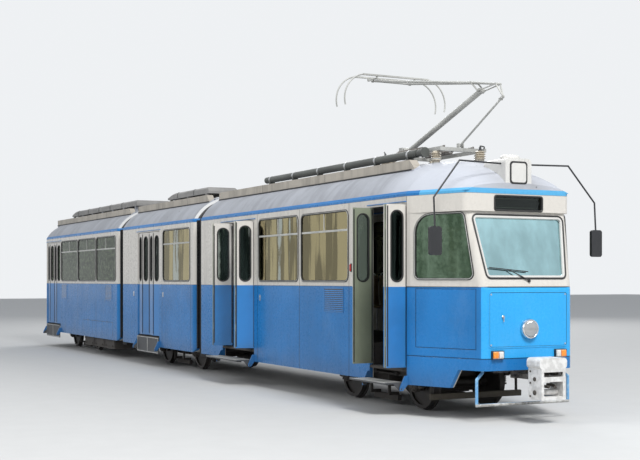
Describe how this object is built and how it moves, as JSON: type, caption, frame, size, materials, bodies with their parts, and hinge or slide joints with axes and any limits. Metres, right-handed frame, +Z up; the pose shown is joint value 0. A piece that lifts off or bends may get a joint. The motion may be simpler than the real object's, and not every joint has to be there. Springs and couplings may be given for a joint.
{
  "type": "articulated tram",
  "caption": "Articulated metre-gauge tram: hinged body sections on bogies, folding doors and steps on one side, and a raised single-arm roof current collector.",
  "frame": {"origin": "on the track centreline, midway between the coupler faces, at the height of the flanges' lowest points", "axes": "+X forward, +Y to the left, +Z up"},
  "size_m": [20.9, 2.75, 4.7748],
  "materials": {
    "body_paint": "satin",
    "roof_paint": "matte",
    "underframe_paint": "matte",
    "glass": "gloss",
    "seat_shell": "satin",
    "desk": "matte",
    "lamp": "gloss",
    "box_paint": "satin",
    "mirror_paint": "satin",
    "tube_paint": "satin",
    "coupler_paint": "matte",
    "rubber": "matte",
    "bogie_paint": "matte",
    "wheel_steel": "satin",
    "step_metal": "satin",
    "cable_tube": "satin",
    "collector_metal": "satin"
  },
  "bodies": {
    "middle": {"middle_side_walls": "body_paint", "middle_roof": "roof_paint", "middle_underframe": "underframe_paint", "middle_glazing": "glass", "middle_seats": "seat_shell", "front_gaiter": "rubber", "rear_gaiter": "rubber"},
    "front": {"front_side_walls": "body_paint", "cab_front": "body_paint", "front_roof": "roof_paint", "front_underframe": "underframe_paint", "front_glazing": "glass", "front_seats": "seat_shell", "driver_desk": "desk", "front_lamps": "lamp", "number_box": "box_paint", "mirrors": "mirror_paint", "lifeguard": "tube_paint", "front_coupler": "coupler_paint", "pantograph_base": "collector_metal", "roof_tube": "cable_tube"},
    "rear": {"rear_side_walls": "body_paint", "rear_end": "body_paint", "rear_roof": "roof_paint", "rear_underframe": "underframe_paint", "rear_glazing": "glass", "rear_seats": "seat_shell", "rear_coupler": "coupler_paint"},
    "pantograph_lower_arm": {"pantograph_lower_arm": "collector_metal"},
    "pantograph_control_rod": {"pantograph_control_rod": "collector_metal"},
    "pantograph_upper_arm": {"pantograph_upper_arm": "collector_metal"},
    "pantograph_head": {"pantograph_head": "collector_metal"},
    "front_bogie": {"front_bogie_frame": "bogie_paint"},
    "front_leading_wheelset": {"front_leading_wheelset": "wheel_steel"},
    "front_trailing_wheelset": {"front_trailing_wheelset": "wheel_steel"},
    "middle_bogie": {"middle_bogie_frame": "bogie_paint"},
    "middle_leading_wheelset": {"middle_leading_wheelset": "wheel_steel"},
    "middle_trailing_wheelset": {"middle_trailing_wheelset": "wheel_steel"},
    "rear_bogie": {"rear_bogie_frame": "bogie_paint"},
    "rear_leading_wheelset": {"rear_leading_wheelset": "wheel_steel"},
    "rear_trailing_wheelset": {"rear_trailing_wheelset": "wheel_steel"},
    "door_1_leaf_a": {"door_1_leaf_a": "body_paint"},
    "door_1_leaf_b": {"door_1_leaf_b": "body_paint"},
    "door_1_leaf_c": {"door_1_leaf_c": "body_paint"},
    "door_1_step": {"door_1_step": "step_metal"},
    "door_2_leaf_a": {"door_2_leaf_a": "body_paint"},
    "door_2_leaf_b": {"door_2_leaf_b": "body_paint"},
    "door_2_leaf_c": {"door_2_leaf_c": "body_paint"},
    "door_2_leaf_d": {"door_2_leaf_d": "body_paint"},
    "door_2_step": {"door_2_step": "step_metal"},
    "door_3_leaf_a": {"door_3_leaf_a": "body_paint"},
    "door_3_leaf_b": {"door_3_leaf_b": "body_paint"},
    "door_3_leaf_c": {"door_3_leaf_c": "body_paint"},
    "door_3_leaf_d": {"door_3_leaf_d": "body_paint"},
    "door_3_step": {"door_3_step": "step_metal"},
    "door_4_leaf_a": {"door_4_leaf_a": "body_paint"},
    "door_4_leaf_b": {"door_4_leaf_b": "body_paint"},
    "door_4_leaf_c": {"door_4_leaf_c": "body_paint"},
    "door_4_leaf_d": {"door_4_leaf_d": "body_paint"},
    "door_4_step": {"door_4_step": "step_metal"}
  },
  "joints": [
    {"name": "front_articulation", "type": "hinge", "parent": "middle", "child": "front", "pos_m": [1.405, 0, 0.8], "axis": [0, 0, 1], "range_deg": [-15, 15], "deforming": ["front_gaiter"]},
    {"name": "rear_articulation", "type": "hinge", "parent": "middle", "child": "rear", "pos_m": [-3.27, 0, 0.8], "axis": [0, 0, 1], "range_deg": [-15, 15], "deforming": ["rear_gaiter"]},
    {"name": "front_bogie_swivel", "type": "hinge", "parent": "front", "child": "front_bogie", "pos_m": [7.4, 0, 0.65], "axis": [0, 0, 1], "range_deg": [-10, 10]},
    {"name": "front_leading_axle", "type": "hinge", "parent": "front_bogie", "child": "front_leading_wheelset", "pos_m": [8.35, 0, 0.355], "axis": [0, 1, 0], "continuous": true},
    {"name": "front_trailing_axle", "type": "hinge", "parent": "front_bogie", "child": "front_trailing_wheelset", "pos_m": [6.45, 0, 0.355], "axis": [0, 1, 0], "continuous": true},
    {"name": "middle_bogie_swivel", "type": "hinge", "parent": "middle", "child": "middle_bogie", "pos_m": [-0.72, 0, 0.65], "axis": [0, 0, 1], "range_deg": [-10, 10]},
    {"name": "middle_leading_axle", "type": "hinge", "parent": "middle_bogie", "child": "middle_leading_wheelset", "pos_m": [0.23, 0, 0.355], "axis": [0, 1, 0], "continuous": true},
    {"name": "middle_trailing_axle", "type": "hinge", "parent": "middle_bogie", "child": "middle_trailing_wheelset", "pos_m": [-1.67, 0, 0.355], "axis": [0, 1, 0], "continuous": true},
    {"name": "rear_bogie_swivel", "type": "hinge", "parent": "rear", "child": "rear_bogie", "pos_m": [-7.75, 0, 0.65], "axis": [0, 0, 1], "range_deg": [-10, 10]},
    {"name": "rear_leading_axle", "type": "hinge", "parent": "rear_bogie", "child": "rear_leading_wheelset", "pos_m": [-6.8, 0, 0.355], "axis": [0, 1, 0], "continuous": true},
    {"name": "rear_trailing_axle", "type": "hinge", "parent": "rear_bogie", "child": "rear_trailing_wheelset", "pos_m": [-8.7, 0, 0.355], "axis": [0, 1, 0], "continuous": true},
    {"name": "door_1_leaf_a_hinge", "type": "hinge", "parent": "front", "child": "door_1_leaf_a", "pos_m": [8.83, -1.08, 1.65], "axis": [0, 0, 1], "range_deg": [-82, 0]},
    {"name": "door_1_leaf_b_hinge", "type": "hinge", "parent": "door_1_leaf_a", "child": "door_1_leaf_b", "pos_m": [8.77763, -1.37635, 1.65], "axis": [0, 0, 1], "range_deg": [-0.1, 164.1]},
    {"name": "door_1_leaf_c_hinge", "type": "hinge", "parent": "front", "child": "door_1_leaf_c", "pos_m": [7.91, -1.08, 1.65], "axis": [0, 0, -1], "range_deg": [-86.2, 0.1]},
    {"name": "door_1_step_hinge", "type": "hinge", "parent": "front", "child": "door_1_step", "pos_m": [8.37, -1.185, 0.35], "axis": [1, 0, 0], "range_deg": [-90.1, 0.1]},
    {"name": "door_2_leaf_a_hinge", "type": "hinge", "parent": "front", "child": "door_2_leaf_a", "pos_m": [3.99, -1.08, 1.65], "axis": [0, 0, 1], "range_deg": [-59, 0]},
    {"name": "door_2_leaf_b_hinge", "type": "hinge", "parent": "door_2_leaf_a", "child": "door_2_leaf_b", "pos_m": [3.81839, -1.34864, 1.65], "axis": [0, 0, 1], "range_deg": [-0.1, 118.1]},
    {"name": "door_2_leaf_c_hinge", "type": "hinge", "parent": "front", "child": "door_2_leaf_c", "pos_m": [2.67, -1.08, 1.65], "axis": [0, 0, -1], "range_deg": [-59.1, 0.1]},
    {"name": "door_2_leaf_d_hinge", "type": "hinge", "parent": "door_2_leaf_c", "child": "door_2_leaf_d", "pos_m": [2.84161, -1.34864, 1.65], "axis": [0, 0, -1], "range_deg": [-0.1, 118.1]},
    {"name": "door_2_step_hinge", "type": "hinge", "parent": "front", "child": "door_2_step", "pos_m": [3.33, -1.185, 0.35], "axis": [1, 0, 0], "range_deg": [-90.1, 0.1]},
    {"name": "door_3_leaf_a_hinge", "type": "hinge", "parent": "middle", "child": "door_3_leaf_a", "pos_m": [-0.69, -1.08, 1.65], "axis": [0, 0, 1], "range_deg": [0, 82]},
    {"name": "door_3_leaf_b_hinge", "type": "hinge", "parent": "door_3_leaf_a", "child": "door_3_leaf_b", "pos_m": [-1.00866, -1.07126, 1.65], "axis": [0, 0, 1], "range_deg": [-164.1, 0.1]},
    {"name": "door_3_leaf_c_hinge", "type": "hinge", "parent": "middle", "child": "door_3_leaf_c", "pos_m": [-2.01, -1.08, 1.65], "axis": [0, 0, -1], "range_deg": [-0.1, 82.1]},
    {"name": "door_3_leaf_d_hinge", "type": "hinge", "parent": "door_3_leaf_c", "child": "door_3_leaf_d", "pos_m": [-1.69134, -1.07126, 1.65], "axis": [0, 0, -1], "range_deg": [-164.1, 0.1]},
    {"name": "door_3_step_hinge", "type": "hinge", "parent": "middle", "child": "door_3_step", "pos_m": [-1.35, -1.185, 0.35], "axis": [1, 0, 0], "range_deg": [-0.1, 90.1]},
    {"name": "door_4_leaf_a_hinge", "type": "hinge", "parent": "rear", "child": "door_4_leaf_a", "pos_m": [-8.33, -1.08, 1.65], "axis": [0, 0, 1], "range_deg": [0, 82]},
    {"name": "door_4_leaf_b_hinge", "type": "hinge", "parent": "door_4_leaf_a", "child": "door_4_leaf_b", "pos_m": [-8.64866, -1.07126, 1.65], "axis": [0, 0, 1], "range_deg": [-164.1, 0.1]},
    {"name": "door_4_leaf_c_hinge", "type": "hinge", "parent": "rear", "child": "door_4_leaf_c", "pos_m": [-9.65, -1.08, 1.65], "axis": [0, 0, -1], "range_deg": [-0.1, 82.1]},
    {"name": "door_4_leaf_d_hinge", "type": "hinge", "parent": "door_4_leaf_c", "child": "door_4_leaf_d", "pos_m": [-9.33134, -1.07126, 1.65], "axis": [0, 0, -1], "range_deg": [-164.1, 0.1]},
    {"name": "door_4_step_hinge", "type": "hinge", "parent": "rear", "child": "door_4_step", "pos_m": [-8.99, -1.185, 0.35], "axis": [1, 0, 0], "range_deg": [-0.1, 90.1]},
    {"name": "pantograph_raise", "type": "hinge", "parent": "front", "child": "pantograph_lower_arm", "pos_m": [7.11, 0, 3.625], "axis": [0, -1, 0], "range_deg": [-12, 15]},
    {"name": "pantograph_control_rod_pivot", "type": "hinge", "parent": "front", "child": "pantograph_control_rod", "pos_m": [8.44, 0, 3.575], "axis": [0, -1, 0], "range_deg": [-17.14, 21.4]},
    {"name": "pantograph_upper_arm_pivot", "type": "hinge", "parent": "pantograph_lower_arm", "child": "pantograph_upper_arm", "pos_m": [8.928, 0, 4.245], "axis": [0, -1, 0], "range_deg": [-29.05, 23.26]},
    {"name": "pantograph_head_pivot", "type": "hinge", "parent": "pantograph_upper_arm", "child": "pantograph_head", "pos_m": [6.6, 0, 4.7], "axis": [0, -1, 0], "range_deg": [-11.26, 14.05]}
  ],
  "couplings": [
    {"joint": "door_1_leaf_b_hinge", "follows": "door_1_leaf_a_hinge", "ratio": -2},
    {"joint": "door_1_leaf_c_hinge", "follows": "door_1_leaf_a_hinge", "ratio": 1.05},
    {"joint": "door_1_step_hinge", "follows": "door_1_leaf_a_hinge", "ratio": 1.0976},
    {"joint": "door_2_leaf_b_hinge", "follows": "door_2_leaf_a_hinge", "ratio": -2},
    {"joint": "door_2_leaf_c_hinge", "follows": "door_2_leaf_a_hinge", "ratio": 1},
    {"joint": "door_2_leaf_d_hinge", "follows": "door_2_leaf_a_hinge", "ratio": -2},
    {"joint": "door_2_step_hinge", "follows": "door_2_leaf_a_hinge", "ratio": 1.5254},
    {"joint": "door_3_leaf_b_hinge", "follows": "door_3_leaf_a_hinge", "ratio": -2},
    {"joint": "door_3_leaf_c_hinge", "follows": "door_3_leaf_a_hinge", "ratio": 1},
    {"joint": "door_3_leaf_d_hinge", "follows": "door_3_leaf_a_hinge", "ratio": -2},
    {"joint": "door_3_step_hinge", "follows": "door_3_leaf_a_hinge", "ratio": 1.0976},
    {"joint": "door_4_leaf_b_hinge", "follows": "door_4_leaf_a_hinge", "ratio": -2},
    {"joint": "door_4_leaf_c_hinge", "follows": "door_4_leaf_a_hinge", "ratio": 1},
    {"joint": "door_4_leaf_d_hinge", "follows": "door_4_leaf_a_hinge", "ratio": -2},
    {"joint": "door_4_step_hinge", "follows": "door_4_leaf_a_hinge", "ratio": 1.0976},
    {"joint": "pantograph_control_rod_pivot", "follows": "pantograph_raise", "ratio": 1.42},
    {"joint": "pantograph_upper_arm_pivot", "follows": "pantograph_raise", "ratio": -1.93},
    {"joint": "pantograph_head_pivot", "follows": "pantograph_raise", "ratio": 0.93}
  ]
}
